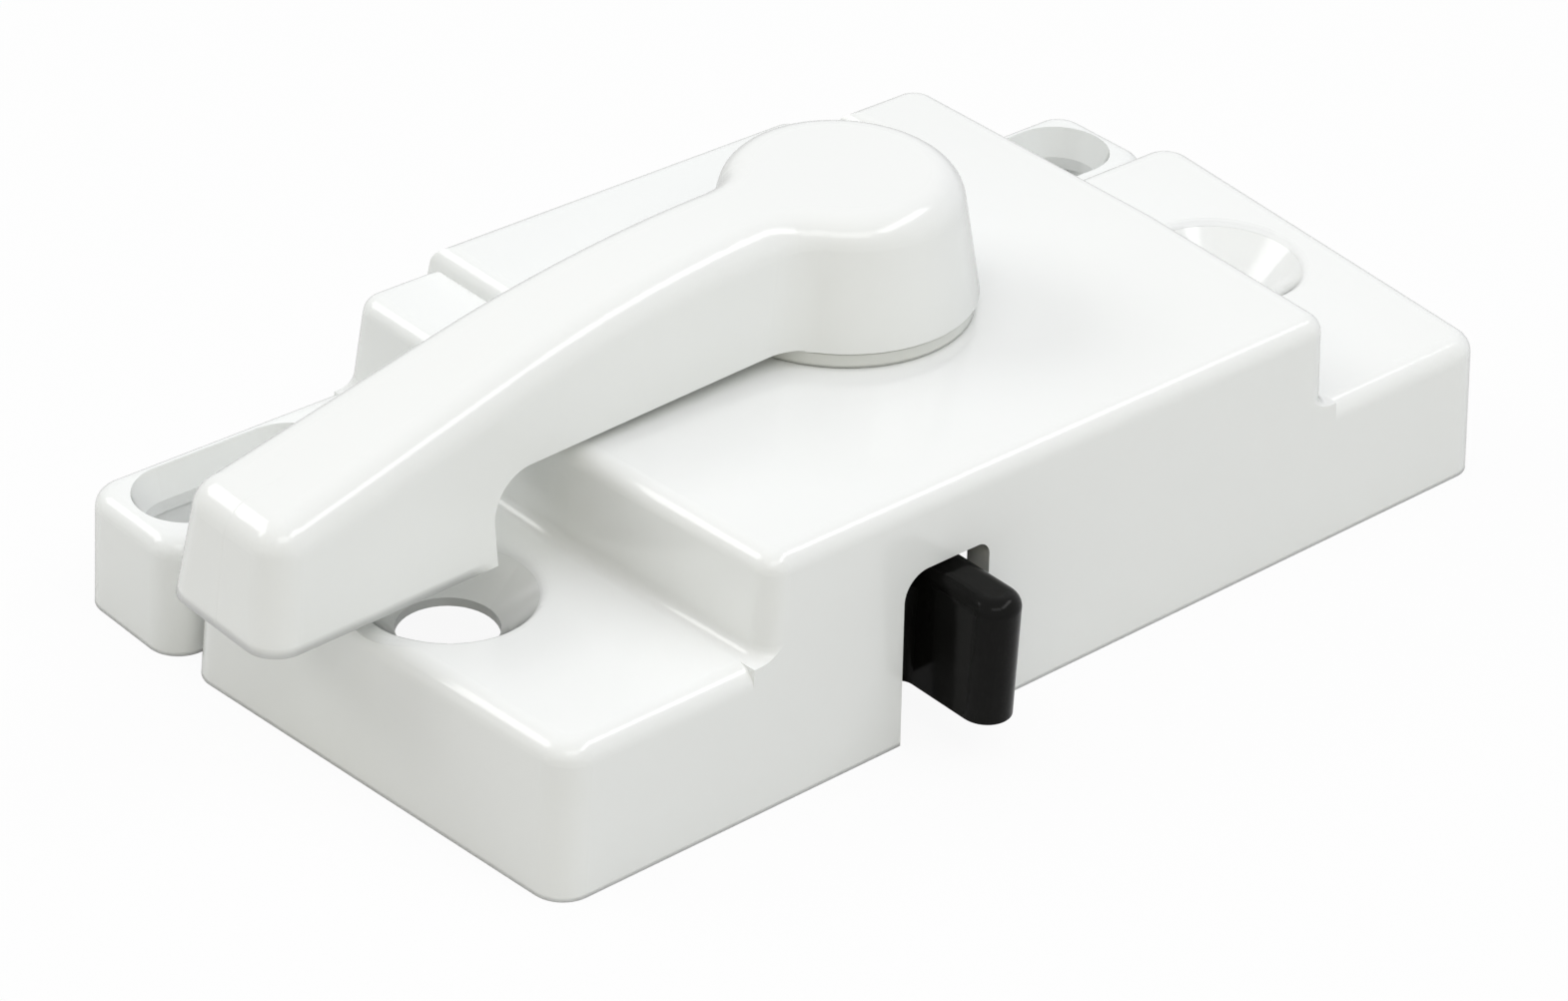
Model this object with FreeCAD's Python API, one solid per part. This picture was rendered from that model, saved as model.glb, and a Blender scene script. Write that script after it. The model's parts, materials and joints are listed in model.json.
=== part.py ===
import FreeCAD, Part
import math
import os

# Sash lock for a hung window: a die-cast cam lock with a swinging lever, shown beside the keeper
# that its cam hooks. Millimetres, Z up. The origin is on the mounting face, under the lever's pivot.
# X runs along the meeting rail, -Y is the room side and +Y the keeper's side.
V = FreeCAD.Vector

past = 5.0                  # how far helper shapes reach past the part
lap = 0.1                   # overlap of shapes that are joined

# lock housing, measured from the pivot axis
ear_past_left = 7.95        # left screw hole to the left end at the mating edge, at the base
ear_past_right = 9.7
front_past_left = 5.55      # the same at the room side
front_past_right = 6.55
body_front = 19.65          # pivot to the room-side face, at the base
body_back = 10.45           # pivot to the mating edge, at the base
ear_height = 9.3
raised_height = 15.4
raised_front_half = 22.4    # half width of the raised body at the room side, at the base
raised_widening = 1.0       # how much wider it is on each side from its widest point back
widest_y = -3.65            # where the raised body reaches its full width
face_draft = 2.9            # degrees, room-side face
ear_draft = 4.2             # degrees, the ears' end walls
raised_draft = 3.5          # degrees, the raised body's end walls
mating_draft = 1.0          # degrees, mating edge
body_corner = 2.0           # vertical corners of the ears
raised_corner = 1.4         # vertical corners of the raised body
ear_round = 1.3             # rounding of the ears' top edges
raised_round = 1.2          # rounding of the raised body's top edges
foot_round = 0.8            # hollow rounding where the raised body meets the ears
wall = 1.75
ear_roof = 1.7
raised_roof = 1.8

# horn of the housing that reaches past the mating edge, over the keeper's right ear
horn_reach = 18.0           # pivot to the horn's end, at the base
horn_inner = 15.75          # pivot to the horn's inner side
horn_corner = 1.7

# screw holes in the ears
screw_spacing = 60.3
screw_shift = -0.4          # middle between the holes, from the pivot
screw_y = -3.1
screw_hole = 5.8            # through diameter
screw_rim = 10.6            # rim diameter of the countersink
cup_depth = 3.1             # top of the ear to the underside of the cup
cup_land = 0.55             # straight part of the hole
cup_wall = 1.2
rim_round = 0.7             # rounded rim of the cup

# room-side notch for the release button
notch_left = -11.85
notch_right = -5.5
notch_top = 10.75
notch_round_left = 1.7
notch_round_right = 0.9

# keeper
mating_gap = 0.8
keeper_depth = 8.85
keeper_half = 38.85
keeper_ear = 7.5
keeper_mid = 13.4           # height of the lower step of its raised part
keeper_high = 14.7
keeper_left = 21.45         # pivot to the raised part's left end
keeper_step = 14.1          # pivot to the foot of the step
keeper_right = 15.3         # pivot to the raised part's right end
step_draft = 12.0           # slope of the step
keeper_draft = 1.4
keeper_left_draft = 8.3     # left end wall of the raised part
keeper_right_draft = 4.8
keeper_foot = 0.9           # hollow rounding at the raised part's ends
keeper_corner = 2.0
keeper_inner_corner = 1.4   # rear upright corners of the raised part
keeper_front_corner = 0.3
keeper_round = 1.2
keeper_wall = 1.4
keeper_plate = 2.7          # thickness of the ears' tops
keeper_roof = 1.3
slot_rim = 6.5              # width of the slots' rims
slot_width = 5.2            # width of the slots' land
slot_land = 0.8
slot_outer = 37.6           # pivot to the slots' outer ends
slot_length = 13.5
relief_radius = 0.8         # small round relief at the outer end of the left slot

# lever
hub_base_radius = 8.25
hub_top_radius = 6.75
hub_top = 24.0
arm_half_top = 3.35         # half width of the arm at the hub's top
arm_draft = 6.3             # its sides
end_x = 43.7                # pivot to the end of the grip, at its underside
end_draft = 8.0
end_corner = 2.0
flat_x = 6.0                # the top is level up to here
top_curve = 84.0            # radius of the fall of the top
bend_x = 27.0               # where that curve ends and the top runs straight
grip_drop = 10.45           # height of the grip's underside at its end
grip_rise = 0.02            # rise of the grip's underside per mm towards the hub
arm_rise = 0.03             # fall of the arm's underside per mm away from the hub
grip_inner = 28.9           # radius of the grip's hollow inner face about the pivot
inner_round = 2.8
lever_round = 2.1
blend_round = 3.6

# lever bearing and cam
washer_thick = 0.95
washer_radius = 8.05
washer_bevel = 0.12
wave_thick = 0.25
wave_points = 12
stack_gap = 0.05            # between faces that turn on each other
journal_radius = 4.2
bore_clearance = 0.06
shank_side = 5.6
shank_clearance = 0.06
cam_thick = 2.3
cam_gap = 0.7               # room for the wave washer above the cam
cam_hub_radius = 6.5
collar_radius = 5.0
collar_drop = 2.6           # collar below the cam plate
cam_outer = 16.8
cam_inner = 14.25
cam_tip = 60.0              # degrees, crescent's tip in the locked position
cam_root = 156.0            # degrees, side of the web that carries the crescent
cam_web = 15.0              # degrees, width of that web
lug_inner = 8.4
lug_outer = 10.4
lug_from = 20.0             # degrees, stop lug in the locked position
lug_span = 21.0
post_radius = 1.2
post_ring = 9.4
post_play = 1.0             # degrees between the post and the lug
cam_washer_radius = 4.2
cam_washer_thick = 0.8
cam_tip_round = 1.1         # the crescent's tip is eased on both sides
screw_head_radius = 3.3
screw_head_height = 1.9
screw_radius = 1.9
screw_length = 4.0
screw_head_round = 0.5
cross_width = 0.8           # width of the screw's cross recess
cross_depth = 0.9
thread_gap = 0.04
screw_play = 0.15           # washer and plate holes round their screws

# release button
tab_width = 3.1
tab_x = -8.3
tab_reach = 24.0           # pivot to the front of the tab
tab_bottom = 2.5
tab_top = 10.25
tab_round = 0.9
flange_left = -13.7
flange_top = 8.8
flange_thick = 1.5
flange_gap = 0.05
block_back = -12.5          # inner end of the button's block
block_left = -13.7
bar_left = -8.6
bar_right = -4.9
bar_top = 7.4
bar_end = -6.2
peg_left = -6.6
peg_length = 1.8
slide_gap = 0.25
rail_thick = 1.5
thumb_corner = 0.9          # corner between the tab and its flange
rail_end = -2.2
rail_top = 9.9
button_float = 0.1          # play of the button between plate and rail

# button spring and the plate under the button
spring_radius = 1.35
spring_wire = 0.4
spring_turns = 4.5
wire_sides = 6              # the wire is drawn with flats, it is too thin to show them
spring_z = 5.6
spring_x = -12.1
plate_thick = 0.8
plate_gap = 0.1
plate_front = -15.3
plate_inset = 0.3           # the plate stops short of the boss and of the bar
boss_radius = 2.0
boss_from_end = 3.0
boss_from_wall = 4.0
small_screw = 1.1
small_head_radius = 1.9
small_head_height = 0.7
small_head_round = 0.3
small_screw_length = 3.6
slot_cut = 0.5              # width of the small screws' slots
slot_sink = 0.35
plate_corner = 0.8

def tilt(angle):
    return math.tan(math.radians(angle))


def side(x0, y0, x1, y1, draft):
    """One wall of a drafted block: its foot line on the base, walked with the block on the left."""
    return (x0, y0, x1, y1, draft)


def corners_at(sides, z, inset=0.0):
    """The block's corners at one height, each wall moved in by its draft and by an inset."""
    lines = []
    for x0, y0, x1, y1, draft in sides:
        length = math.hypot(x1 - x0, y1 - y0)
        dx, dy = (x1 - x0) / length, (y1 - y0) / length
        move = z * tilt(draft) + inset
        lines.append((x0 - dy * move, y0 + dx * move, dx, dy))
    points = []
    for a, b in zip(lines, lines[1:] + lines[:1]):
        cross = a[2] * b[3] - a[3] * b[2]
        t = ((b[0] - a[0]) * b[3] - (b[1] - a[1]) * b[2]) / cross
        points.append(V(a[0] + t * a[2], a[1] + t * a[3], z))
    return points


def block(sides, z0, z1, inset=0.0, rounds=None):
    """A solid between two heights with drafted flat walls; rounds gives a radius per upright edge."""
    low, high = corners_at(sides, z0, inset), corners_at(sides, z1, inset)
    n = len(low)
    faces = [Part.Face(Part.makePolygon([low[i], low[(i + 1) % n], high[(i + 1) % n], high[i], low[i]]))
             for i in range(n)]
    faces.append(Part.Face(Part.makePolygon(low + [low[0]])))
    faces.append(Part.Face(Part.makePolygon(high + [high[0]])))
    solid = Part.Solid(Part.Shell(faces))
    if solid.Volume < 0:
        solid.reverse()
    if rounds:
        for i, radius in enumerate(rounds):
            if radius > 0:
                middle = (low[i] + high[i]) * 0.5
                edge = min(solid.Edges, key=lambda e: (e.valueAt((e.FirstParameter + e.LastParameter) / 2)
                                                       - middle).Length)
                solid = solid.makeFillet(radius, [edge])
    return solid


def box(x0, x1, y0, y1, z0, z1):
    return Part.makeBox(x1 - x0, y1 - y0, z1 - z0, V(x0, y0, z0))


def rod(x, y, z0, z1, radius):
    return Part.makeCylinder(radius, z1 - z0, V(x, y, z0))


def sector(r0, r1, from_deg, to_deg, z0, z1):
    """A flat piece of a ring about the pivot."""
    a, b = math.radians(from_deg), math.radians(to_deg)
    m = (a + b) / 2
    p = lambda r, t: V(r * math.cos(t), r * math.sin(t), z0)
    wire = Part.Wire([Part.Arc(p(r1, a), p(r1, m), p(r1, b)).toShape(), Part.makeLine(p(r1, b), p(r0, b)),
                      Part.Arc(p(r0, b), p(r0, m), p(r0, a)).toShape(), Part.makeLine(p(r0, a), p(r1, a))])
    return Part.Face(wire).extrude(V(0, 0, z1 - z0))


def stadium(x0, x1, y, half, z):
    """A long round-ended outline along X."""
    a, b = x0 + half, x1 - half
    return Part.Wire([Part.makeLine(V(a, y - half, z), V(b, y - half, z)),
                      Part.Arc(V(b, y - half, z), V(b + half, y, z), V(b, y + half, z)).toShape(),
                      Part.makeLine(V(b, y + half, z), V(a, y + half, z)),
                      Part.Arc(V(a, y + half, z), V(a - half, y, z), V(a, y - half, z)).toShape()])


def mid_point(edge):
    return edge.valueAt((edge.FirstParameter + edge.LastParameter) / 2)


def round_edges(solid, radius, choose):
    edges = [e for e in solid.Edges if choose(e)]
    return solid.makeFillet(radius, edges) if edges else solid


def level(edge, z, tol=0.02):
    return all(abs(v.Z - z) < tol for v in edge.Vertexes) and abs(mid_point(edge).z - z) < tol


# sides of the housing, walked anticlockwise seen from above
hole_left = screw_spacing / 2 - screw_shift
hole_right = screw_spacing / 2 + screw_shift
back_left, back_right = hole_left + ear_past_left, hole_right + ear_past_right
front_left, front_right = hole_left + front_past_left, hole_right + front_past_right
raised_back_half = raised_front_half + raised_widening
ear_sides = [side(-front_left, -body_front, front_right, -body_front, face_draft),
             side(front_right, -body_front, back_right, body_back, ear_draft),
             side(back_right, body_back, -back_left, body_back, mating_draft),
             side(-back_left, body_back, -front_left, -body_front, ear_draft)]
raised_sides = [side(-raised_front_half, -body_front, raised_front_half, -body_front, face_draft),
                side(raised_front_half, -body_front, raised_back_half, widest_y, raised_draft),
                side(raised_back_half, widest_y, raised_back_half, horn_reach, raised_draft),
                side(raised_back_half, horn_reach, -raised_back_half, horn_reach, face_draft),
                side(-raised_back_half, horn_reach, -raised_back_half, widest_y, raised_draft),
                side(-raised_back_half, widest_y, -raised_front_half, -body_front, raised_draft)]
horn_floor = keeper_ear + 0.5
roof_under = raised_height - raised_roof
ear_under = ear_height - ear_roof


def hollow_foot(sides, rounds, limits, height, radius, drop):
    """The hollow rounding where a raised part stands on a level top, trimmed by the walls in limits."""
    xs = [c[0] for c in limits] + [c[2] for c in limits]
    ys = [c[1] for c in limits] + [c[3] for c in limits]
    plate = box(min(xs) - past, max(xs) + past, min(ys) - past, max(ys) + past, height - drop, height)
    foot = plate.fuse(block(sides, height - drop, height + 2 * radius, rounds=rounds)).removeSplitter()
    near = 0.8 * past
    foot = round_edges(foot, radius, lambda e: level(e, height)
                       and min(xs) - near < mid_point(e).x < max(xs) + near
                       and min(ys) - near < mid_point(e).y < max(ys) + near)
    skirt = block(sides, height - drop, height + 2 * radius, inset=-radius)
    return foot.common(skirt).common(block(limits, height - drop, height + 2 * radius))


def horn_shape(z0, z1, inset, rounds=None):
    """The raised body with its horn: a block as deep as the horn, cut back to the mating edge."""
    body = block(raised_sides, z0, z1, inset, rounds)
    edge = body_back - inset
    far = 3 * back_right
    behind = block([side(-far, edge, far, edge, -mating_draft), side(far, edge, far, far, 0.0),
                    side(far, far, -far, far, 0.0), side(-far, far, -far, edge, 0.0)], z0 - 1, z1 + 1)
    left_of_horn = behind.common(box(-far, horn_inner + inset, 0, far, z0 - 1, z1 + 1))
    under_horn = behind.common(box(-far, far, 0, far, z0 - 1, horn_floor))
    return body.cut(left_of_horn).cut(under_horn).removeSplitter()


def lock_housing():
    c = body_corner
    ears = block(ear_sides, 0, ear_height, rounds=[c, c, c, c])
    ears = round_edges(ears, ear_round, lambda e: level(e, ear_height))
    centre = horn_shape(0, raised_height, 0.0, [raised_corner, 0, horn_corner, 0, 0, raised_corner])
    centre = round_edges(centre, raised_round, lambda e: level(e, raised_height))
    # its foot on the ears, made in two runs that meet on the mitre where the end walls turn
    far, wide = horn_reach + past, 1.2 * back_right
    grow = raised_widening / (body_front + widest_y)
    turn = corners_at(raised_sides, ear_height)[1]
    mitre = lambda x: turn.y - math.tan(math.atan(grow) / 2) * (x - turn.x)
    feet = []
    for y, slope, corner in ((-body_front, grow, raised_corner), (body_back, 0.0, 0)):
        a = raised_front_half if slope else raised_back_half
        b = a + slope * (far + body_front)
        walls = [side(-a, -body_front, a, -body_front, face_draft), side(a, -body_front, b, far, raised_draft),
                 side(b, far, -b, far, 0.0), side(-b, far, -a, -body_front, raised_draft)]
        if slope:
            across = [side(-wide, y, wide, y, face_draft), side(wide, y, wide, mitre(wide), 0.0),
                      side(wide, mitre(wide), 0, mitre(0), 0.0), side(0, mitre(0), -wide, mitre(wide), 0.0),
                      side(-wide, mitre(wide), -wide, y, 0.0)]
        else:
            across = [side(wide, mitre(wide), wide, y, 0.0), side(wide, y, -wide, y, mating_draft),
                      side(-wide, y, -wide, mitre(wide), 0.0), side(-wide, mitre(wide), 0, mitre(0), 0.0),
                      side(0, mitre(0), wide, mitre(wide), 0.0)]
        feet.append(hollow_foot(walls, [corner, 0, 0, corner], across, ear_height, foot_round, ear_round))
    body = ears.fuse([centre] + feet).removeSplitter()
    # hollow underside, open at the base
    body = body.cut(block(ear_sides, -1, ear_under, inset=wall))
    body = body.cut(horn_shape(-1, roof_under, wall))
    # opening in the mating edge for the cam
    body = body.cut(box(-cam_outer, cam_outer - 1.6, body_back - wall - 1.0, body_back + 1, -1, roof_under))
    # sunk screw cups in both ears
    for x in (-hole_left, hole_right):
        low = ear_height - cup_depth
        neck = low + cup_land
        cup = rod(x, screw_y, low, ear_height - 0.5, screw_hole / 2 + cup_wall)
        cup = cup.fuse(Part.makeCone(screw_hole / 2 + cup_wall, screw_rim / 2 + cup_wall, ear_under - neck + 0.6,
                                     V(x, screw_y, neck)))
        body = body.fuse(cup.common(block(ear_sides, 0, ear_height - 0.5, inset=wall / 2)))
        body = body.cut(rod(x, screw_y, low - 1, ear_height + 1, screw_hole / 2))
        sink = Part.makeCone(screw_hole / 2, screw_rim / 2, ear_height - neck, V(x, screw_y, neck))
        sink = sink.fuse(rod(x, screw_y, ear_height, ear_height + 1, screw_rim / 2)).removeSplitter()
        body = body.cut(sink)
        body = round_edges(body, rim_round, lambda e: level(e, ear_height) and e.Length > screw_rim / 2
                           and abs((mid_point(e) - V(x, screw_y, ear_height)).Length - screw_rim / 2) < 0.05)
    # room-side notch with a large rounding at its top left corner
    notch = box(notch_left, notch_right, -body_front - 1, -body_front + wall + 1.5, -1, notch_top)
    for x, radius in ((notch_left, notch_round_left), (notch_right, notch_round_right)):
        edges = [e for e in notch.Edges if all(abs(v.X - x) < 0.01 and abs(v.Z - notch_top) < 0.01
                                               for v in e.Vertexes)]
        notch = notch.makeFillet(radius, edges)
    body = body.cut(notch)
    # bearing for the lever's journal, and the post that stops the cam in the locked position
    angle = math.radians(lug_from - post_play) - math.asin(post_radius / post_ring)
    body = body.fuse(rod(post_ring * math.cos(angle), post_ring * math.sin(angle),
                         lug_bottom + 0.2, roof_under + 0.5, post_radius))
    body = body.cut(rod(0, 0, roof_under - 1, raised_height + 1, journal_radius + bore_clearance))
    # rail beside the button: it guides the block, carries the spring's end and the plate's screws
    inner_front = -body_front + wall - 0.3
    rail = box(rail_left, rail_left + rail_thick, inner_front, rail_end, plate_top, rail_top)
    rail = rail.fuse(box(rail_left, spring_x + spring_radius, rail_end - rail_thick, rail_end,
                         plate_top, rail_top))
    for y in boss_ys:
        rail = rail.fuse(rod(boss_x, y, plate_top, rail_top, boss_radius))
        rail = rail.cut(rod(boss_x, y, plate_top - 1, plate_top + small_screw_length + 0.4, small_screw))
    body = body.fuse(rail)
    return body.removeSplitter()


# heights of the stack under the roof and of the button's guide
cam_top = roof_under - cam_gap
cam_bottom = cam_top - cam_thick
lug_bottom = cam_bottom - collar_drop
plate_top = tab_bottom - plate_gap - button_float
rail_left = block_left - slide_gap - rail_thick
boss_x = rail_left - boss_radius + 0.6
boss_ys = (rail_end - boss_from_end, -body_front + wall + boss_from_wall)
hub_bottom = raised_height + washer_thick + 2 * stack_gap


def keeper():
    y0 = body_back + mating_gap
    y1 = y0 + keeper_depth
    rect = lambda a, b, d0, d1: [side(a, y0, b, y0, 0.0), side(b, y0, b, y1, d1),
                                 side(b, y1, a, y1, keeper_draft), side(a, y1, a, y0, d0)]
    r = keeper_corner
    ears = block(rect(-keeper_half, keeper_half, keeper_draft, keeper_draft), 0, keeper_ear,
                 rounds=[r, r, r, r])
    ears = round_edges(ears, keeper_round, lambda e: level(e, keeper_ear))
    # the raised part in two levels: the higher one ends in a rounded step over a sharp crease
    left, right = keeper_left_draft, keeper_right_draft
    mid = block(rect(-keeper_left, 0, left, 0.0), 0, keeper_mid, rounds=[0, 0, keeper_inner_corner, 0])
    mid = round_edges(mid, keeper_round, lambda e: level(e, keeper_mid))
    high = block(rect(-keeper_step - keeper_mid * tilt(step_draft), keeper_right, step_draft, right),
                 0, keeper_high, rounds=[0, keeper_inner_corner, 0, 0])
    high = round_edges(high, keeper_round, lambda e: level(e, keeper_high))
    # its foot on the ears stops just short of their rounded rear edge
    low, y = -keeper_half, y1 - keeper_round / 2
    across = [side(low, y0, -low, y0, 0.0), side(-low, y0, -low, y, 0.0),
              side(-low, y, low, y, 0.0), side(low, y, low, y0, 0.0)]
    sharp, soft = keeper_front_corner, keeper_inner_corner
    foot = hollow_foot(rect(-keeper_left, keeper_right, left, right), [sharp, soft, soft, sharp], across,
                       keeper_ear, keeper_foot, keeper_round)
    body = ears.fuse([mid, high, foot]).removeSplitter()
    # hollow underside
    under = keeper_ear - keeper_plate
    w = keeper_wall
    body = body.cut(box(-keeper_half + w + 0.5, keeper_half - w - 0.5, y0 + w, y1 - w - 0.3, -1, under))
    body = body.cut(box(-keeper_left + w + 0.5, keeper_right - w - 0.4, y0 + w, y1 - w - 0.4, -1,
                        keeper_mid - keeper_wall))
    body = body.cut(box(-keeper_step + 0.2, keeper_right - w - 0.4, y0 + w, y1 - w - 0.4, -1,
                        keeper_high - keeper_roof))
    # two openings in the mating wall let the cam in; the rib between them is what it hooks
    reach = math.sqrt(cam_outer ** 2 - y0 ** 2) + 0.7
    rib = math.sqrt((cam_inner - 0.35) ** 2 - (y0 + w) ** 2)
    for a, b in ((-reach, -rib), (rib, reach)):
        body = body.cut(box(a, b, y0 - 1, y0 + w + 0.5, -1, keeper_high - keeper_roof))
    # long screw slots, wider at the rim
    y = (y0 + y1) / 2 - 0.05
    for sign in (-1, 1):
        a, b = sorted((sign * slot_outer, sign * (slot_outer - slot_length)))
        less = (slot_rim - slot_width) / 2
        land = under + slot_land
        body = body.cut(Part.Face(stadium(a + less, b - less, y, slot_width / 2, under - 1)).extrude(
            V(0, 0, slot_land + 1.01)))
        body = body.cut(Part.makeLoft([stadium(a + less, b - less, y, slot_width / 2, land),
                                       stadium(a, b, y, slot_rim / 2, keeper_ear + 0.01)], True, True))
        if sign < 0:
            body = body.cut(rod(a + less + relief_radius * 0.4, y - 0.4, under - 1, land + 0.4, relief_radius))
    return body.removeSplitter()


def arm_under(x):
    return hub_bottom + lap - arm_rise * max(0.0, x - hub_base_radius)


def top_height(x):
    """Height of the lever's top at a distance from the pivot towards the grip."""
    run = min(max(x - flat_x, 0.0), bend_x - flat_x)
    fall = top_curve - math.sqrt(top_curve ** 2 - run ** 2)
    return hub_top - fall - max(0.0, x - bend_x) * run / math.sqrt(top_curve ** 2 - run ** 2)


def lever_handle():
    # hub and drafted arm, joined by hollow blends
    foot = grip_drop - 1.0
    taper = (hub_base_radius - hub_top_radius) / (hub_top - hub_bottom)
    hub = Part.makeCone(hub_top_radius + taper * (hub_top - foot), hub_top_radius, hub_top - foot, V(0, 0, foot))
    half = arm_half_top + hub_top * tilt(arm_draft)
    tip = end_x + grip_drop * tilt(end_draft)
    arm = block([side(-tip, -half, 0, -half, arm_draft), side(0, -half, 0, half, 0.0),
                 side(0, half, -tip, half, arm_draft), side(-tip, half, -tip, -half, end_draft)],
                foot, hub_top, rounds=[0, 0, end_corner, end_corner])
    body = hub.fuse(arm).removeSplitter()
    body = round_edges(body, blend_round, lambda e: -hub_base_radius - 2 < mid_point(e).x < -2
                       and 2.0 < abs(mid_point(e).y) < hub_base_radius
                       and abs(e.Vertexes[0].Z - e.Vertexes[-1].Z) > 3)
    # the top: level over the hub, an arc, then a straight fall to the end
    far, wide = end_x + past, 3 * hub_base_radius
    half_run = flat_x + top_curve * math.sin(math.asin((bend_x - flat_x) / top_curve) / 2)
    at = lambda x, z: V(-x, -wide, z)
    high = hub_top + past
    side_view = Part.Wire([Part.Arc(at(flat_x, hub_top), at(half_run, top_height(half_run)),
                                    at(bend_x, top_height(bend_x))).toShape(),
                           Part.makeLine(at(bend_x, top_height(bend_x)), at(far, top_height(far))),
                           Part.makeLine(at(far, top_height(far)), at(far, high)),
                           Part.makeLine(at(far, high), at(flat_x, high)),
                           Part.makeLine(at(flat_x, high), at(flat_x, hub_top))])
    body = body.cut(Part.Face(side_view).extrude(V(0, 2 * wide, 0)))
    # one rounding runs all the way along the top
    body = round_edges(body, lever_round, lambda e: e.Length > 0.05
                       and mid_point(e).z > top_height(-mid_point(e).x) - 0.1
                       and not (abs(e.Vertexes[0].X - e.Vertexes[-1].X) < 0.05
                                and abs(mid_point(e).x) < end_x - 4
                                and e.Vertexes[0].Y * e.Vertexes[-1].Y < 0))
    # underside of the grip, and the turned space that clears the housing's corners
    floor = lambda x: grip_drop + grip_rise * (end_x - x)
    below = Part.makePolygon([at(far, floor(far)), at(0, floor(0)), at(0, 0), at(far, 0), at(far, floor(far))])
    body = body.cut(Part.Face(below).extrude(V(0, 2 * wide, 0)))
    r = inner_round
    k = r * (1 - math.sqrt(0.5))
    z = arm_under(grip_inner)
    turned = Part.Wire([Part.makeLine(V(0, 0, 0), V(grip_inner, 0, 0)),
                        Part.makeLine(V(grip_inner, 0, 0), V(grip_inner, 0, z - r)),
                        Part.Arc(V(grip_inner, 0, z - r), V(grip_inner - k, 0, z - k),
                                 V(grip_inner - r, 0, z)).toShape(),
                        Part.makeLine(V(grip_inner - r, 0, z), V(hub_base_radius + lap, 0, arm_under(0))),
                        Part.makeLine(V(hub_base_radius + lap, 0, arm_under(0)),
                                      V(hub_base_radius + lap, 0, hub_bottom)),
                        Part.makeLine(V(hub_base_radius + lap, 0, hub_bottom), V(0, 0, hub_bottom)),
                        Part.makeLine(V(0, 0, hub_bottom), V(0, 0, 0))])
    body = body.cut(Part.Face(turned).revolve(V(0, 0, 0), V(0, 0, 1), 360))
    # journal through the roof and the square shank that turns the cam
    body = body.fuse(rod(0, 0, cam_top, hub_bottom + 0.5, journal_radius))
    s = shank_side / 2
    body = body.fuse(box(-s, s, -s, s, lug_bottom + 0.3, cam_top + 0.5))
    body = body.cut(rod(0, 0, lug_bottom - 0.5, lug_bottom + screw_length + 0.4, screw_radius))
    return body.removeSplitter()


def hub_washer():
    z = raised_height + stack_gap
    ring = rod(0, 0, z, z + washer_thick, washer_radius)
    ring = ring.makeChamfer(washer_bevel, [e for e in ring.Edges if level(e, z + washer_thick)])
    return ring.cut(rod(0, 0, z - 1, z + 3, journal_radius + bore_clearance))


def wave_washer():
    """A thin spring ring with three waves, between the roof and the cam."""
    r0, r1, thick = journal_radius + bore_clearance + 0.1, cam_hub_radius - 0.4, wave_thick
    lift = (cam_gap - 2 * stack_gap - thick) / 2
    z = (cam_top + roof_under) / 2
    n = wave_points
    rings = []
    for r in (r0, r1):
        pts = [V(r * math.cos(2 * math.pi * i / n), r * math.sin(2 * math.pi * i / n),
                 z - thick / 2 + lift * math.cos(6 * math.pi * i / n)) for i in range(n)]
        curve = Part.BSplineCurve()
        curve.interpolate(pts, PeriodicFlag=True)
        rings.append(curve.toShape())
    face = Part.makeRuledSurface(rings[0], rings[1])
    return face.extrude(V(0, 0, thick))


def cam():
    plate = rod(0, 0, cam_bottom, cam_top, cam_hub_radius)
    plate = plate.fuse(rod(0, 0, lug_bottom, cam_top, collar_radius))
    crescent = sector(cam_inner, cam_outer, cam_tip, cam_root + cam_web, cam_bottom, cam_top)
    web = sector(collar_radius - 1, cam_outer, cam_root, cam_root + cam_web, cam_bottom, cam_top)
    lug = sector(lug_inner, lug_outer, lug_from, lug_from + lug_span, lug_bottom, cam_top)
    arm = sector(collar_radius - 1, lug_outer, lug_from, lug_from + lug_span, cam_bottom, cam_top)
    body = plate.fuse([crescent, web, lug, arm]).removeSplitter()
    # the eased tip finds its way behind the keeper's rib
    tip = lambda e: (abs(e.Vertexes[0].Z - e.Vertexes[-1].Z) > cam_thick - 0.1
                     and math.hypot(mid_point(e).x, mid_point(e).y) > cam_inner - 0.3
                     and mid_point(e).x > 2)
    body = round_edges(body, cam_tip_round, tip)
    s = shank_side / 2 + shank_clearance
    return body.cut(box(-s, s, -s, s, lug_bottom - 1, cam_top + 1))


def cam_washer():
    top = lug_bottom - stack_gap
    return rod(0, 0, top - cam_washer_thick, top, cam_washer_radius).cut(
        rod(0, 0, top - 3, top + 1, screw_radius + screw_play))


def cam_screw():
    top = lug_bottom - 2 * stack_gap - cam_washer_thick
    head = rod(0, 0, top - screw_head_height, top, screw_head_radius)
    head = round_edges(head, screw_head_round, lambda e: level(e, top - screw_head_height))
    body = head.fuse(rod(0, 0, top - 0.2, lug_bottom + screw_length, screw_radius - thread_gap))
    w = cross_width / 2
    slot = box(-w, w, -screw_head_radius * 0.6, screw_head_radius * 0.6, top - screw_head_height - 1,
               top - screw_head_height + cross_depth)
    turned = slot.copy()
    turned.rotate(V(0, 0, 0), V(0, 0, 1), 90)
    return body.cut(slot).cut(turned)


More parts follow.
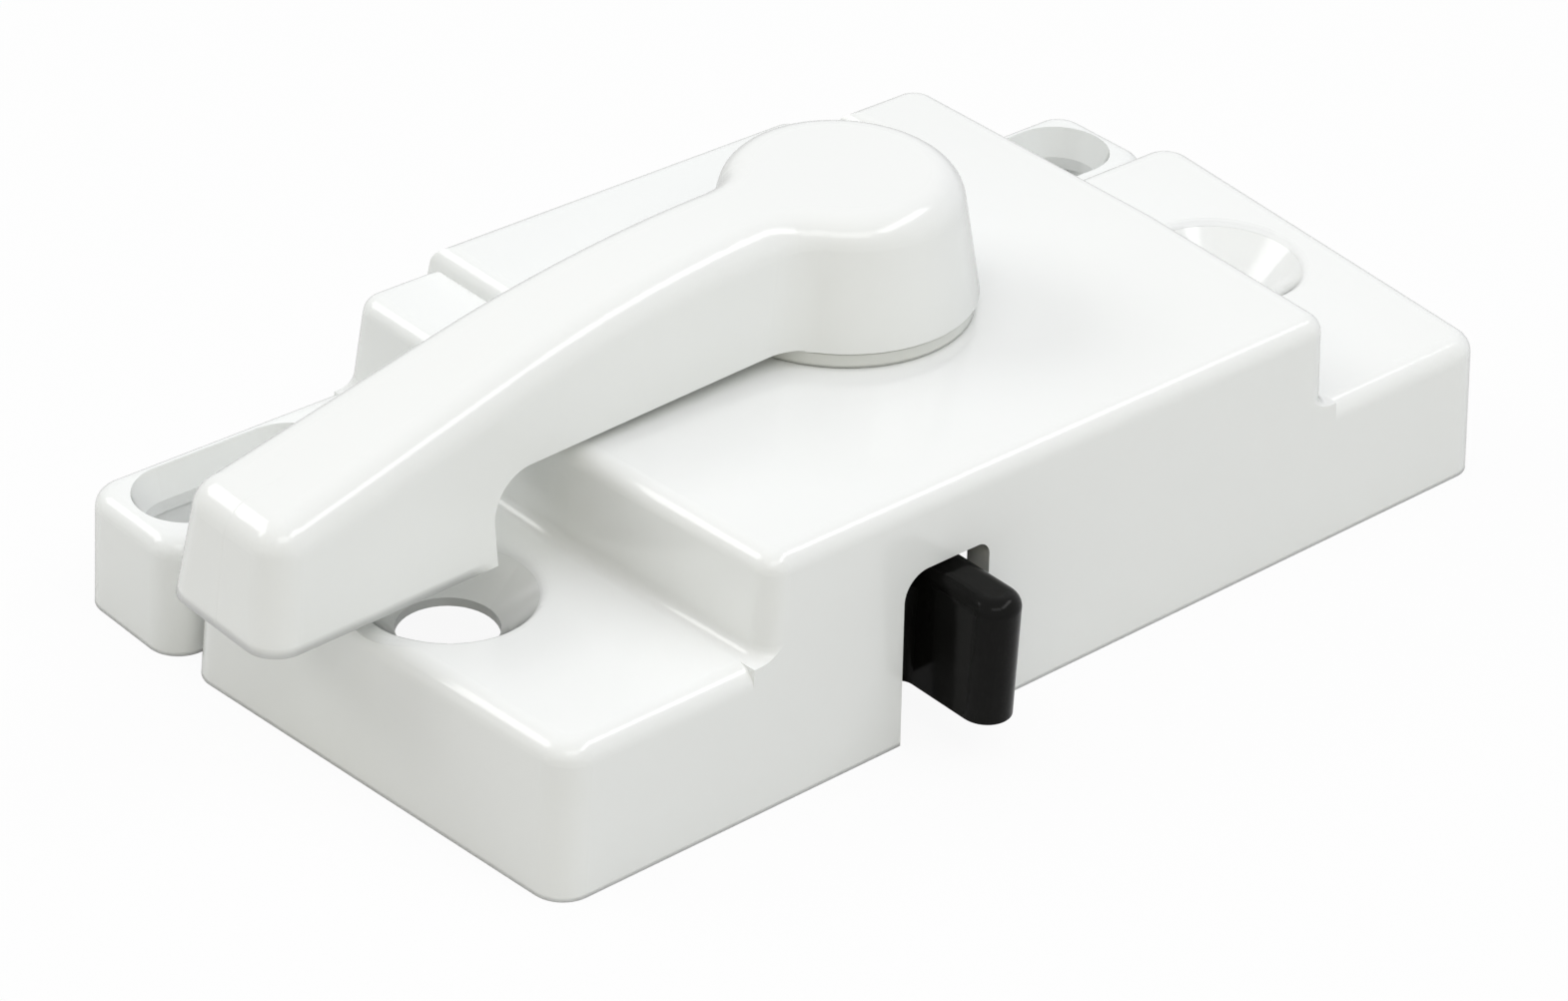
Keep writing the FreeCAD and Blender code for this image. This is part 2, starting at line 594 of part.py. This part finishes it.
def release_button():
    half = tab_width / 2
    right = tab_x + half
    left = tab_x - half
    inner_face = -body_front + wall + flange_gap + tab_top * tilt(face_draft)
    front = -tab_reach + half
    outline = Part.Wire([Part.makeLine(V(left, block_back, tab_bottom), V(left, front, tab_bottom)),
                         Part.Arc(V(left, front, tab_bottom), V(tab_x, -tab_reach, tab_bottom),
                                  V(right, front, tab_bottom)).toShape(),
                         Part.makeLine(V(right, front, tab_bottom), V(right, block_back, tab_bottom)),
                         Part.makeLine(V(right, block_back, tab_bottom), V(left, block_back, tab_bottom))])
    body = Part.Face(outline).extrude(V(0, 0, tab_top - tab_bottom))
    body = body.fuse(box(block_left, left + lap, inner_face + flange_thick, block_back, tab_bottom, tab_top))
    body = body.fuse(box(flange_left, left + lap, inner_face, inner_face + flange_thick + lap, tab_bottom,
                         flange_top)).removeSplitter()
    edges = [e for e in body.Edges if all(abs(v.X - left) < 0.01 and abs(v.Y - inner_face) < 0.01
                                          for v in e.Vertexes)]
    body = body.makeFillet(thumb_corner, edges)
    body = round_edges(body, tab_round, lambda e: level(e, tab_top) and mid_point(e).y < inner_face
                       and (abs(mid_point(e).x - left) < 0.02 or abs(mid_point(e).x - right) < 0.02
                            or mid_point(e).y < front - 0.5))
    body = body.fuse(box(bar_left, bar_right, block_back - 0.5, bar_end, tab_bottom, bar_top))
    body = body.fuse(box(peg_left, bar_right - lap, bar_end - peg_length, bar_end, bar_top - 0.5, tab_top))
    return body.removeSplitter()


def button_spring():
    """Compression spring between the block and the rail's end wall."""
    y0 = block_back + stack_gap
    y1 = rail_end - rail_thick - stack_gap
    length = y1 - y0 - spring_wire
    helix = Part.makeHelix(length / spring_turns, length, spring_radius - spring_wire / 2)
    start = helix.Edges[0].valueAt(helix.Edges[0].FirstParameter)
    turns = [2 * math.pi * i / wire_sides for i in range(wire_sides + 1)]
    section = Part.makePolygon([start + V(math.cos(a), 0, math.sin(a)) * (spring_wire / 2) for a in turns])
    coil = Part.Wire(helix).makePipeShell([section], True, True)
    coil.rotate(V(0, 0, 0), V(1, 0, 0), -90)
    coil.translate(V(spring_x, y0 + spring_wire / 2, spring_z))
    return coil


def button_retainer():
    z = plate_top - plate_gap / 2
    plate = box(boss_x - boss_radius + plate_inset, bar_right - plate_inset, plate_front, rail_end,
                z - plate_thick, z)
    upright = [e for e in plate.Edges if abs(e.Vertexes[0].Z - e.Vertexes[-1].Z) > plate_thick / 2]
    plate = plate.makeFillet(plate_corner, upright)
    for y in boss_ys:
        plate = plate.cut(rod(boss_x, y, z - 2 * plate_thick, z + plate_thick, small_screw + screw_play))
    return plate


def retainer_screw(y):
    top = plate_top - plate_gap / 2 - plate_thick
    head = rod(boss_x, y, top - small_head_height, top, small_head_radius)
    head = round_edges(head, small_head_round, lambda e: level(e, top - small_head_height))
    body = head.fuse(rod(boss_x, y, top - lap, plate_top + small_screw_length, small_screw - thread_gap))
    w, reach = slot_cut / 2, small_head_radius * 0.7
    return body.cut(box(boss_x - w, boss_x + w, y - reach, y + reach, top - small_head_height - 1,
                        top - small_head_height + slot_sink))


pieces = {
    "lock_housing": lock_housing,
    "keeper": keeper,
    "lever_handle": lever_handle,
    "hub_washer": hub_washer,
    "wave_washer": wave_washer,
    "cam": cam,
    "cam_washer": cam_washer,
    "cam_screw": cam_screw,
    "release_button": release_button,
    "button_spring": button_spring,
    "button_retainer": button_retainer,
    "retainer_screw_back": lambda: retainer_screw(boss_ys[0]),
    "retainer_screw_front": lambda: retainer_screw(boss_ys[1]),
}

os.makedirs("parts", exist_ok=True)
for name, make in pieces.items():
    shape = make()
    if shape.ShapeType != "Solid" and len(shape.Solids) == 1:
        shape = shape.Solids[0]
    shape.exportStep("parts/" + name + ".step")
    print(name, "solids", len(shape.Solids), "valid", shape.isValid(), "volume", round(shape.Volume, 1),
          "faces", len(shape.Faces))
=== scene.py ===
import bpy
import json
import math
from mathutils import Matrix, Vector


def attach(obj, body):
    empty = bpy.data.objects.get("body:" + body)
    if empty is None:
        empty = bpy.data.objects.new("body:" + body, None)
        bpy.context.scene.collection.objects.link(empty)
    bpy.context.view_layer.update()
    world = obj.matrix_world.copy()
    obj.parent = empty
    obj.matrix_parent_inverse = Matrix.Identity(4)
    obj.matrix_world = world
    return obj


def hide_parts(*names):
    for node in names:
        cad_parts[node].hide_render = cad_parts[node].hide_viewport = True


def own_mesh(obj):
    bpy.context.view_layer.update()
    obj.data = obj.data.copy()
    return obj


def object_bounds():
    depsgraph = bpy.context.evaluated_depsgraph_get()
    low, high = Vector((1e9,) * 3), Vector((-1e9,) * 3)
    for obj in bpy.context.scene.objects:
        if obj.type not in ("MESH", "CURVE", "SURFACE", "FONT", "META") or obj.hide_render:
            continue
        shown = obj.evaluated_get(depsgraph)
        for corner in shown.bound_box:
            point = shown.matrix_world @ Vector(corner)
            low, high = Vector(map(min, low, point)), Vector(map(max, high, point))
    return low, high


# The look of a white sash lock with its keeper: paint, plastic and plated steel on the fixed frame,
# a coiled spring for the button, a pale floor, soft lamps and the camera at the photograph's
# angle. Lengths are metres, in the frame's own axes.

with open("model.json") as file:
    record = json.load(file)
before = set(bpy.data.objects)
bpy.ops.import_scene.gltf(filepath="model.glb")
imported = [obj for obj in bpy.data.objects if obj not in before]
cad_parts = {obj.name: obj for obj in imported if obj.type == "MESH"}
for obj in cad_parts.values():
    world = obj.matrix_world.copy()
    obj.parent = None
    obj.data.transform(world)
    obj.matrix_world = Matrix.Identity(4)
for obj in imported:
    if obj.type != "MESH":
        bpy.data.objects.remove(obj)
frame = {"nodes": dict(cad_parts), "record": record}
cad_box = [list(corner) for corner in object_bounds()]
nodes = frame["nodes"]
bpy.ops.object.select_all(action="DESELECT")


# Small tools for building node trees.

def add(tree, kind, **settings):
    node = tree.nodes.new(kind)
    for key, value in settings.items():
        setattr(node, key, value)
    return node


def feed(tree, socket, value):
    """Sets a socket to a number or a colour, or wires another node's output to it."""
    if isinstance(value, bpy.types.NodeSocket):
        tree.links.new(value, socket)
    else:
        socket.default_value = value


def calc(tree, operation, *values, clamp=False):
    """A math node on numbers or other nodes' outputs."""
    node = add(tree, "ShaderNodeMath", operation=operation, use_clamp=clamp)
    for socket, value in zip(node.inputs, values):
        feed(tree, socket, value)
    return node.outputs[0]


def noise(tree, coords, grain, detail, rough=0.5):
    node = add(tree, "ShaderNodeTexNoise")
    feed(tree, node.inputs["Vector"], coords)
    feed(tree, node.inputs["Scale"], grain)
    feed(tree, node.inputs["Detail"], detail)
    feed(tree, node.inputs["Roughness"], rough)
    return node.outputs["Fac"]


def remap(tree, value, low, high, to_low=0.0, to_high=1.0):
    node = add(tree, "ShaderNodeMapRange")
    feed(tree, node.inputs["Value"], value)
    feed(tree, node.inputs["From Min"], low)
    feed(tree, node.inputs["From Max"], high)
    feed(tree, node.inputs["To Min"], to_low)
    feed(tree, node.inputs["To Max"], to_high)
    return node.outputs["Result"]


def mixed(tree, share, plain, other):
    """The plain colour where the share is 0 and the other one where it is 1."""
    node = add(tree, "ShaderNodeMix", data_type="RGBA", blend_type="MIX")
    feed(tree, node.inputs["Factor"], share)
    feed(tree, node.inputs["A"], plain)
    feed(tree, node.inputs["B"], other)
    return node.outputs["Result"]


def scaled(tree, colour, share):
    node = add(tree, "ShaderNodeVectorMath", operation="SCALE")
    feed(tree, node.inputs[0], colour)
    feed(tree, node.inputs["Scale"], share)
    return node.outputs["Vector"]


def own_coords(tree):
    """The piece's own coordinates, which are the frame's while the part is at rest."""
    return add(tree, "ShaderNodeTexCoord").outputs["Object"]


def own_axes(tree):
    """Those coordinates apart, as x, y and z."""
    split = add(tree, "ShaderNodeSeparateXYZ")
    feed(tree, split.inputs[0], own_coords(tree))
    return [split.outputs[i] for i in range(3)]


def group_tree(name, ins, outs):
    """An empty shader group with named sockets."""
    tree = bpy.data.node_groups.new(name, "ShaderNodeTree")
    for label, kind, value in ins:
        socket = tree.interface.new_socket(label, in_out="INPUT", socket_type=kind)
        socket.default_value = value
    for label, kind in outs:
        tree.interface.new_socket(label, in_out="OUTPUT", socket_type=kind)
    return tree, tree.nodes.new("NodeGroupInput").outputs, tree.nodes.new("NodeGroupOutput").inputs


# Effects that several finishes share. A grain is how many noise cells fit in a metre.

NOISE_LOW, NOISE_HIGH = 0.3, 0.7     # most of the noise lies between these
DRIFT_GRAIN = 55.0
FLOW_GRAIN = 190.0
WEAR_GRAIN = 420.0
SHARP_EDGE = 0.6                     # pointiness of an edge that is worn most


def sprayed_skin():
    """The skin of sprayed enamel: a faint drift of tone, flow marks in the gloss, orange peel."""
    tree, ins, outs = group_tree(
        "sprayed_skin",
        [("Colour", "NodeSocketColor", (0.9, 0.9, 0.89, 1)), ("Tone drift", "NodeSocketFloat", 0.02),
         ("Gloss", "NodeSocketFloat", 0.2), ("Gloss drift", "NodeSocketFloat", 0.05),
         ("Peel size", "NodeSocketFloat", 900.0)],
        [("Colour", "NodeSocketColor"), ("Roughness", "NodeSocketFloat"), ("Height", "NodeSocketFloat")])
    coords = own_coords(tree)
    drift = noise(tree, coords, DRIFT_GRAIN, 3.0)
    darkest = calc(tree, "SUBTRACT", 1.0, ins["Tone drift"])
    tone = remap(tree, drift, NOISE_LOW, NOISE_HIGH, darkest, 1.0)
    flow = noise(tree, coords, FLOW_GRAIN, 4.0)
    feed(tree, outs["Colour"], scaled(tree, ins["Colour"], tone))
    feed(tree, outs["Roughness"], calc(tree, "MULTIPLY_ADD", flow, ins["Gloss drift"], ins["Gloss"]))
    feed(tree, outs["Height"], noise(tree, coords, ins["Peel size"], 1.0))
    return tree


def rubbed_edges():
    """A mask of the convex edges, broken up by noise, where a coat is thin or polished by hands."""
    tree, ins, outs = group_tree(
        "rubbed_edges",
        [("Width", "NodeSocketFloat", 0.52), ("Amount", "NodeSocketFloat", 0.5)],
        [("Mask", "NodeSocketFloat")])
    pointed = add(tree, "ShaderNodeNewGeometry").outputs["Pointiness"]
    sharp = remap(tree, pointed, ins["Width"], SHARP_EDGE)
    patch = remap(tree, noise(tree, own_coords(tree), WEAR_GRAIN, 4.0, 0.6), 0.35, 0.65, 0.2, 1.0)
    worn = calc(tree, "MULTIPLY", sharp, patch)
    feed(tree, outs["Mask"], calc(tree, "MULTIPLY", worn, ins["Amount"], clamp=True))
    return tree


def eased_edge():
    """The height of a small rounding: it falls away over the last part of the distance to an edge."""
    tree, ins, outs = group_tree(
        "eased_edge",
        [("Distance", "NodeSocketFloat", 0.0), ("Reach", "NodeSocketFloat", 0.0004),
         ("Depth", "NodeSocketFloat", 0.0003)],
        [("Height", "NodeSocketFloat")])
    share = calc(tree, "DIVIDE", ins["Distance"], ins["Reach"], clamp=True)
    rest = calc(tree, "SUBTRACT", 1.0, share)
    fall = calc(tree, "MULTIPLY", calc(tree, "MULTIPLY", rest, rest), ins["Depth"])
    feed(tree, outs["Height"], calc(tree, "MULTIPLY", fall, -1.0))
    return tree


skin_group = sprayed_skin()
edge_group = rubbed_edges()
ease_group = eased_edge()


def blank(name):
    material = bpy.data.materials.new(name)
    material.use_nodes = True
    tree = material.node_tree
    return material, tree, tree.nodes["Principled BSDF"]


def use(tree, group, **values):
    """A group's node; a name's underscore stands for the space in the socket's name."""
    node = tree.nodes.new("ShaderNodeGroup")
    node.node_tree = group
    for key, value in values.items():
        feed(tree, node.inputs[key.replace("_", " ")], value)
    return node.outputs


def bump(tree, shader, height, strength, depth):
    node = add(tree, "ShaderNodeBump")
    feed(tree, node.inputs["Strength"], strength)
    feed(tree, node.inputs["Distance"], depth)
    feed(tree, node.inputs["Height"], height)
    feed(tree, shader.inputs["Normal"], node.outputs["Normal"])


# Marks raised or sunk by the bump, as heights on the pieces' own coordinates. An eased edge has
# a reach, along the surface, and a depth.

PEEL_DEPTH = 0.000006
FOOT_EASE = {"Reach": 0.0003, "Depth": 0.00018}

CUP_PLACES = (-0.03055, 0.02975)     # x of the two screw cups
CUP_Y = -0.0031
RIM_CRISP = 0.00495                  # radius of the cup's crisp rim
RIM_FLAT = 0.006                     # radius up to which the top is evened out
RIM_TOP = 0.0093                     # height of the ears' tops

GRIP_LOW = 0.01045                   # height of the grip's lower edge at its end
GRIP_SLOPE = 0.02                    # and how that edge rises towards the hub
GRIP_END = 0.0437
GRIP_START = 0.0289
GRIP_RAMP = 0.0015
GRIP_EASE = {"Reach": 0.0006, "Depth": 0.00035}
SEAM_START = 0.0385
SEAM_RAMP = 0.001
SEAM_EASE = {"Reach": 0.0001, "Depth": 0.000012}

WASHER_LOW = 0.01545
WASHER_TOP = 0.0164
WASHER_EASE = {"Reach": 0.00018, "Depth": 0.00012}


def eased(tree, distance, ease):
    return use(tree, ease_group, Distance=distance, **ease)["Height"]


def base_edge(tree):
    """The castings' feet are eased where their walls end on the base."""
    return eased(tree, own_axes(tree)[2], FOOT_EASE)


def housing_marks(tree):
    """The eased foot, and a flat top up to the crisp rim of each screw cup."""
    x, y, z = own_axes(tree)
    height = base_edge(tree)
    across = calc(tree, "SUBTRACT", y, CUP_Y)
    missing = calc(tree, "SUBTRACT", RIM_TOP, z)
    for cup_x in CUP_PLACES:
        along = calc(tree, "SUBTRACT", x, cup_x)
        squares = calc(tree, "ADD", calc(tree, "MULTIPLY", along, along),
                       calc(tree, "MULTIPLY", across, across))
        radius = calc(tree, "SQRT", squares)
        near = calc(tree, "GREATER_THAN", RIM_FLAT, radius)
        outside = calc(tree, "GREATER_THAN", radius, RIM_CRISP)
        fill = calc(tree, "MULTIPLY", calc(tree, "MULTIPLY", near, outside), missing)
        height = calc(tree, "ADD", height, calc(tree, "MAXIMUM", fill, 0.0))
    return height


def lever_marks(tree):
    """The grip's eased lower edge, and the mould's parting line over its end."""
    x, y, z = own_axes(tree)
    out = calc(tree, "ABSOLUTE", x)
    under = calc(tree, "MULTIPLY_ADD", out, -GRIP_SLOPE, GRIP_LOW + GRIP_SLOPE * GRIP_END)
    edge = eased(tree, calc(tree, "SUBTRACT", z, under), GRIP_EASE)
    on_grip = remap(tree, out, GRIP_START, GRIP_START + GRIP_RAMP)
    seam = eased(tree, calc(tree, "ABSOLUTE", y), SEAM_EASE)
    at_end = remap(tree, out, SEAM_START, SEAM_START + SEAM_RAMP)
    return calc(tree, "ADD", calc(tree, "MULTIPLY", edge, on_grip), calc(tree, "MULTIPLY", seam, at_end))


def washer_marks(tree):
    """Both edges of the washer are eased."""
    z = own_axes(tree)[2]
    low = eased(tree, calc(tree, "SUBTRACT", z, WASHER_LOW), WASHER_EASE)
    high = eased(tree, calc(tree, "SUBTRACT", WASHER_TOP, z), WASHER_EASE)
    return calc(tree, "ADD", low, high)


# Finishes.

WHITE = (0.866, 0.878, 0.864)
KEEPER_WHITE = (0.864, 0.88, 0.868)
WASHER_WHITE = (0.79, 0.80, 0.77)
# painted shade: the dark grey that the enamel's colour turns to where it is seen edge on
PAINTED_RIM_SHADE = (0.2, 0.21, 0.19, 1)
PLASTIC_BLACK = (0.005, 0.005, 0.0045)
PLASTIC_WORN = (0.028, 0.028, 0.0272, 1)
ZINC = (0.6, 0.61, 0.62)
SPRING_WIRE = (0.5, 0.5, 0.5)
RUBBED_METAL = (0.86, 0.86, 0.87, 1)
WORN_WIDTH = 0.51
STREAK_GRAIN = 700.0
CLOUD_GRAIN = 240.0


def enamel(name, colour, drift, gloss, peel, marks):
    """White enamel sprayed over a die casting, with a clear glossy skin."""
    material, tree, shader = blank(name)
    skin = use(tree, skin_group, Colour=(*colour, 1), Tone_drift=drift, Gloss=gloss, Gloss_drift=0.05,
               Peel_size=peel)
    # painted shade: the white is darkened where the surface is seen edge on, a painted dark rim that
    # stands in for the darker reflections along the silhouettes
    facing = add(tree, "ShaderNodeLayerWeight").outputs["Facing"]
    painted_rim_ramp = remap(tree, facing, 0.6, 1.0)
    share = calc(tree, "MULTIPLY", painted_rim_ramp, painted_rim_ramp)
    feed(tree, shader.inputs["Base Color"], mixed(tree, share, skin["Colour"], PAINTED_RIM_SHADE))
    feed(tree, shader.inputs["Roughness"], skin["Roughness"])
    peel_height = calc(tree, "MULTIPLY", skin["Height"], PEEL_DEPTH)
    bump(tree, shader, calc(tree, "ADD", peel_height, marks(tree)), 1.0, 1.0)
    shader.inputs["IOR"].default_value = 1.5
    shader.inputs["Coat Weight"].default_value = 0.2
    shader.inputs["Coat Roughness"].default_value = 0.1
    return material


def plastic(name, colour, worn, gloss, sheen):
    """Moulded plastic with a fine polish and softly worn edges."""
    material, tree, shader = blank(name)
    skin = use(tree, skin_group, Colour=(*colour, 1), Tone_drift=0.25, Gloss=gloss, Gloss_drift=0.12,
               Peel_size=1500.0)
    mask = use(tree, edge_group, Width=WORN_WIDTH, Amount=0.15)["Mask"]
    feed(tree, shader.inputs["Base Color"], mixed(tree, mask, skin["Colour"], worn))
    feed(tree, shader.inputs["Roughness"], skin["Roughness"])
    bump(tree, shader, skin["Height"], 0.2, 0.00004)
    shader.inputs["Specular IOR Level"].default_value = sheen
    return material


def plated_steel(name, colour, gloss, streak):
    """Plated steel: cloudy metal with drawn streaks and brighter rubbed edges."""
    material, tree, shader = blank(name)
    coords = own_coords(tree)
    stretch = add(tree, "ShaderNodeMapping")
    feed(tree, stretch.inputs["Scale"], (streak, 1.0, 1.0))
    feed(tree, stretch.inputs["Vector"], coords)
    lines = noise(tree, stretch.outputs["Vector"], STREAK_GRAIN, 5.0, 0.6)
    cloud = noise(tree, coords, CLOUD_GRAIN, 3.0)
    shade = scaled(tree, colour, remap(tree, cloud, NOISE_LOW, NOISE_HIGH, 0.82, 1.05))
    mask = use(tree, edge_group, Width=WORN_WIDTH, Amount=0.8)["Mask"]
    feed(tree, shader.inputs["Base Color"], mixed(tree, mask, shade, RUBBED_METAL))
    feed(tree, shader.inputs["Roughness"], remap(tree, lines, NOISE_LOW, NOISE_HIGH, gloss, gloss + 0.15))
    bump(tree, shader, lines, 0.2, 0.00003)
    shader.inputs["Metallic"].default_value = 1.0
    return material


finishes = {
    "housing_paint": enamel("housing_enamel", WHITE, 0.012, 0.13, 850.0, housing_marks),
    "lever_paint": enamel("lever_enamel", WHITE, 0.012, 0.12, 850.0, lever_marks),
    "keeper_paint": enamel("keeper_enamel", KEEPER_WHITE, 0.012, 0.14, 900.0, base_edge),
    "washer_white": enamel("washer_enamel", WASHER_WHITE, 0.02, 0.08, 900.0, washer_marks),
    "button_black": plastic("button_plastic", PLASTIC_BLACK, PLASTIC_WORN, 0.09, 0.1),
    "zinc_plate": plated_steel("zinc_plate", ZINC, 0.28, 6.0),
    "spring_steel": plated_steel("spring_wire", SPRING_WIRE, 0.22, 1.0),
}
for entry in frame["record"]["subparts"]:
    slots = nodes[entry["node"]].data.materials
    finish = finishes[entry["material_slot"]]
    if len(slots):
        for i in range(len(slots)):
            slots[i] = finish
    else:
        slots.append(finish)


# The button's spring is drawn anew as a coil of wire, hung with the mounted castings; nothing here makes
# it shorten with the press.

COIL_WIRE = 0.0004
WIRE_SIDES = 12
COIL_RADIUS = 0.00115                # from the spring's axis to the middle of its wire
COIL_TURNS = 4.5
COIL_STEPS = 108
COIL_RUN = 0.008246                  # from the middle of the wire at one end to that at the other
COIL_START = (-0.0121, -0.012223, 0.0056)


def button_coil():
    bpy.ops.object.select_all(action="DESELECT")
    bpy.ops.mesh.primitive_circle_add(vertices=WIRE_SIDES, radius=COIL_WIRE / 2, location=COIL_START)
    coil = bpy.context.object
    coil.name = "button_coil"
    bpy.ops.object.mode_set(mode="EDIT")
    bpy.ops.mesh.select_all(action="SELECT")
    bpy.ops.transform.translate(value=(COIL_RADIUS, 0, 0))
    bpy.ops.object.mode_set(mode="OBJECT")
    turns = coil.modifiers.new("turns", "SCREW")
    turns.axis = "Y"
    turns.angle = math.tau * COIL_TURNS
    turns.screw_offset = COIL_RUN
    turns.steps = turns.render_steps = COIL_STEPS
    bpy.ops.object.modifier_apply(modifier="turns")
    bpy.ops.object.mode_set(mode="EDIT")
    bpy.ops.mesh.select_all(action="SELECT")
    bpy.ops.mesh.fill_holes(sides=0)
    bpy.ops.mesh.normals_make_consistent(inside=False)
    bpy.ops.object.mode_set(mode="OBJECT")
    bpy.ops.object.transform_apply(location=True, rotation=True, scale=True)
    coil.data.materials.append(finishes["spring_steel"])
    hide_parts("button_spring")
    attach(coil, "mounted_castings")
    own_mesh(coil)


button_coil()


# Floor, lamps and the white around them.

PAPER = 0.99                         # the white that the picture's ground shows
TABLE = (0.72, 0.72, 0.72, 1)        # the floor's colour for the light that it throws back
PALE = (0.9, 0.9, 0.9, 1)            # the floor's colour where it is looked at
FLOOR_SIZE = 6.0
FLOOR_GAP = 0.00002
LAMPS_AIM = Vector((0, 0, 0.006))


def seen_white(tree, camera, mirror, clear):
    """Shares of plain white in what the camera, a mirror or clear matter shows of the surroundings."""
    path = add(tree, "ShaderNodeLightPath").outputs
    by_eye = calc(tree, "MULTIPLY", path["Is Camera Ray"], camera)
    by_mirror = calc(tree, "MULTIPLY", path["Is Glossy Ray"], mirror)
    through = calc(tree, "MULTIPLY", path["Is Transmission Ray"], clear)
    return calc(tree, "MAXIMUM", calc(tree, "MAXIMUM", by_eye, by_mirror), through)


def pale_sweep():
    """A pale table that the camera sees as white paper, dimmed a little where the lock shades it."""
    bpy.ops.object.select_all(action="DESELECT")
    bpy.ops.mesh.primitive_plane_add(size=FLOOR_SIZE, location=(0, 0, cad_box[0][2] - FLOOR_GAP))
    floor = bpy.context.object
    floor.name = "pale_floor"
    material, tree, shader = blank("white_sweep")
    tone = mixed(tree, seen_white(tree, 1.0, 0.0, 1.0), TABLE, PALE)
    feed(tree, shader.inputs["Base Color"], tone)
    shader.inputs["Roughness"].default_value = 0.7
    glow = add(tree, "ShaderNodeEmission")
    glow.inputs["Strength"].default_value = PAPER
    surface = add(tree, "ShaderNodeMixShader")
    feed(tree, surface.inputs["Fac"], seen_white(tree, 0.94, 0.4, 0.94))
    feed(tree, surface.inputs[1], shader.outputs["BSDF"])
    feed(tree, surface.inputs[2], glow.outputs["Emission"])
    feed(tree, tree.nodes["Material Output"].inputs["Surface"], surface.outputs["Shader"])
    floor.data.materials.append(material)


def soft_box(name, place, size, watts):
    data = bpy.data.lights.new(name, "AREA")
    data.shape = "RECTANGLE"
    data.size, data.size_y = size
    data.energy = watts
    lamp = bpy.data.objects.new(name, data)
    bpy.context.scene.collection.objects.link(lamp)
    lamp.location = place
    lamp.rotation_euler = (LAMPS_AIM - Vector(place)).to_track_quat("-Z", "Y").to_euler()


def studio_air(level, lobes):
    """The room's light: an even level and a few broad lobes, and plain white where it is looked at.
    A lobe has the direction that it comes from, how narrow it is, and its colour."""
    world = bpy.data.worlds.new("studio_white")
    bpy.context.scene.world = world
    world.use_nodes = True
    tree = world.node_tree
    way = add(tree, "ShaderNodeTexCoord").outputs["Generated"]
    even = add(tree, "ShaderNodeCombineXYZ")
    for socket in even.inputs:
        socket.default_value = level
    total = even.outputs["Vector"]
    for towards, narrow, colour in lobes:
        dot = add(tree, "ShaderNodeVectorMath", operation="DOT_PRODUCT")
        feed(tree, dot.inputs[0], way)
        feed(tree, dot.inputs[1], Vector(towards).normalized())
        front = calc(tree, "MAXIMUM", dot.outputs["Value"], 0.0)
        tint = scaled(tree, colour, calc(tree, "POWER", front, narrow))
        both = add(tree, "ShaderNodeVectorMath", operation="ADD")
        feed(tree, both.inputs[0], total)
        feed(tree, both.inputs[1], tint)
        total = both.outputs["Vector"]
    shown = mixed(tree, seen_white(tree, 1.0, 1.0, 1.0), total, (PAPER, PAPER, PAPER, 1))
    feed(tree, tree.nodes["Background"].inputs["Color"], shown)


pale_sweep()
soft_box("front_strip", (0.24, -0.28, 0.50), (0.6, 0.12), 0.95)
soft_box("left_rear_box", (-0.34, 0.43, 0.44), (0.45, 0.25), 1.2)
soft_box("near_box", (-0.28, -0.50, 0.62), (0.5, 0.25), 0.8)
studio_air(0.01, [
    ((0, 0, 1), 6.0, (1.77, 1.76, 1.90)),
    ((0, -1, 0.35), 3.0, (0.41, 0.47, 0.51)),
    ((0, 1, 0.35), 3.0, (0.52, 0.53, 0.46)),
    ((-1, 0, 0.35), 3.0, (0.11, 0.14, 0.16)),
    ((-0.58, -0.62, 0.45), 3.0, (0.24, 0.17, 0.02)),
])


# The camera: direction from the lock to the camera, its roll, and the camera's place along its own axes.

CAMERA_TURN = 43.2586
CAMERA_RISE = 32.0904
CAMERA_ROLL = 3.1454
CAMERA_BACK = 0.261046
CAMERA_RIGHT = -0.0156035
CAMERA_UP = 0.0095461
PIVOT_SHIFT = Vector((0.00046, -0.01965, 0.0))
SENSOR = 36.0
FOCAL_SHARE = 4610.31 / 1570         # focal length as a share of the picture's width

turn, rise, roll = (math.radians(v) for v in (CAMERA_TURN, CAMERA_RISE, CAMERA_ROLL))
back = Vector((-math.cos(rise) * math.sin(turn), -math.cos(rise) * math.cos(turn), math.sin(rise)))
right = Vector((0, 0, 1)).cross(back).normalized()
up = back.cross(right)
right, up = right * math.cos(roll) + up * math.sin(roll), up * math.cos(roll) - right * math.sin(roll)
place = right * CAMERA_RIGHT + up * CAMERA_UP + back * CAMERA_BACK + PIVOT_SHIFT

lens = bpy.data.cameras.new("photo_camera")
lens.sensor_width = SENSOR
lens.sensor_fit = "HORIZONTAL"
lens.lens = FOCAL_SHARE * SENSOR
lens.clip_start, lens.clip_end = 0.01, 20.0
camera = bpy.data.objects.new("photo_camera", lens)
bpy.context.scene.collection.objects.link(camera)
camera.matrix_world = Matrix(((right.x, up.x, back.x, place.x), (right.y, up.y, back.y, place.y),
                              (right.z, up.z, back.z, place.z), (0, 0, 0, 1)))
bpy.context.scene.camera = camera
bpy.context.scene.view_settings.view_transform = "Standard"

bpy.context.view_layer.update()
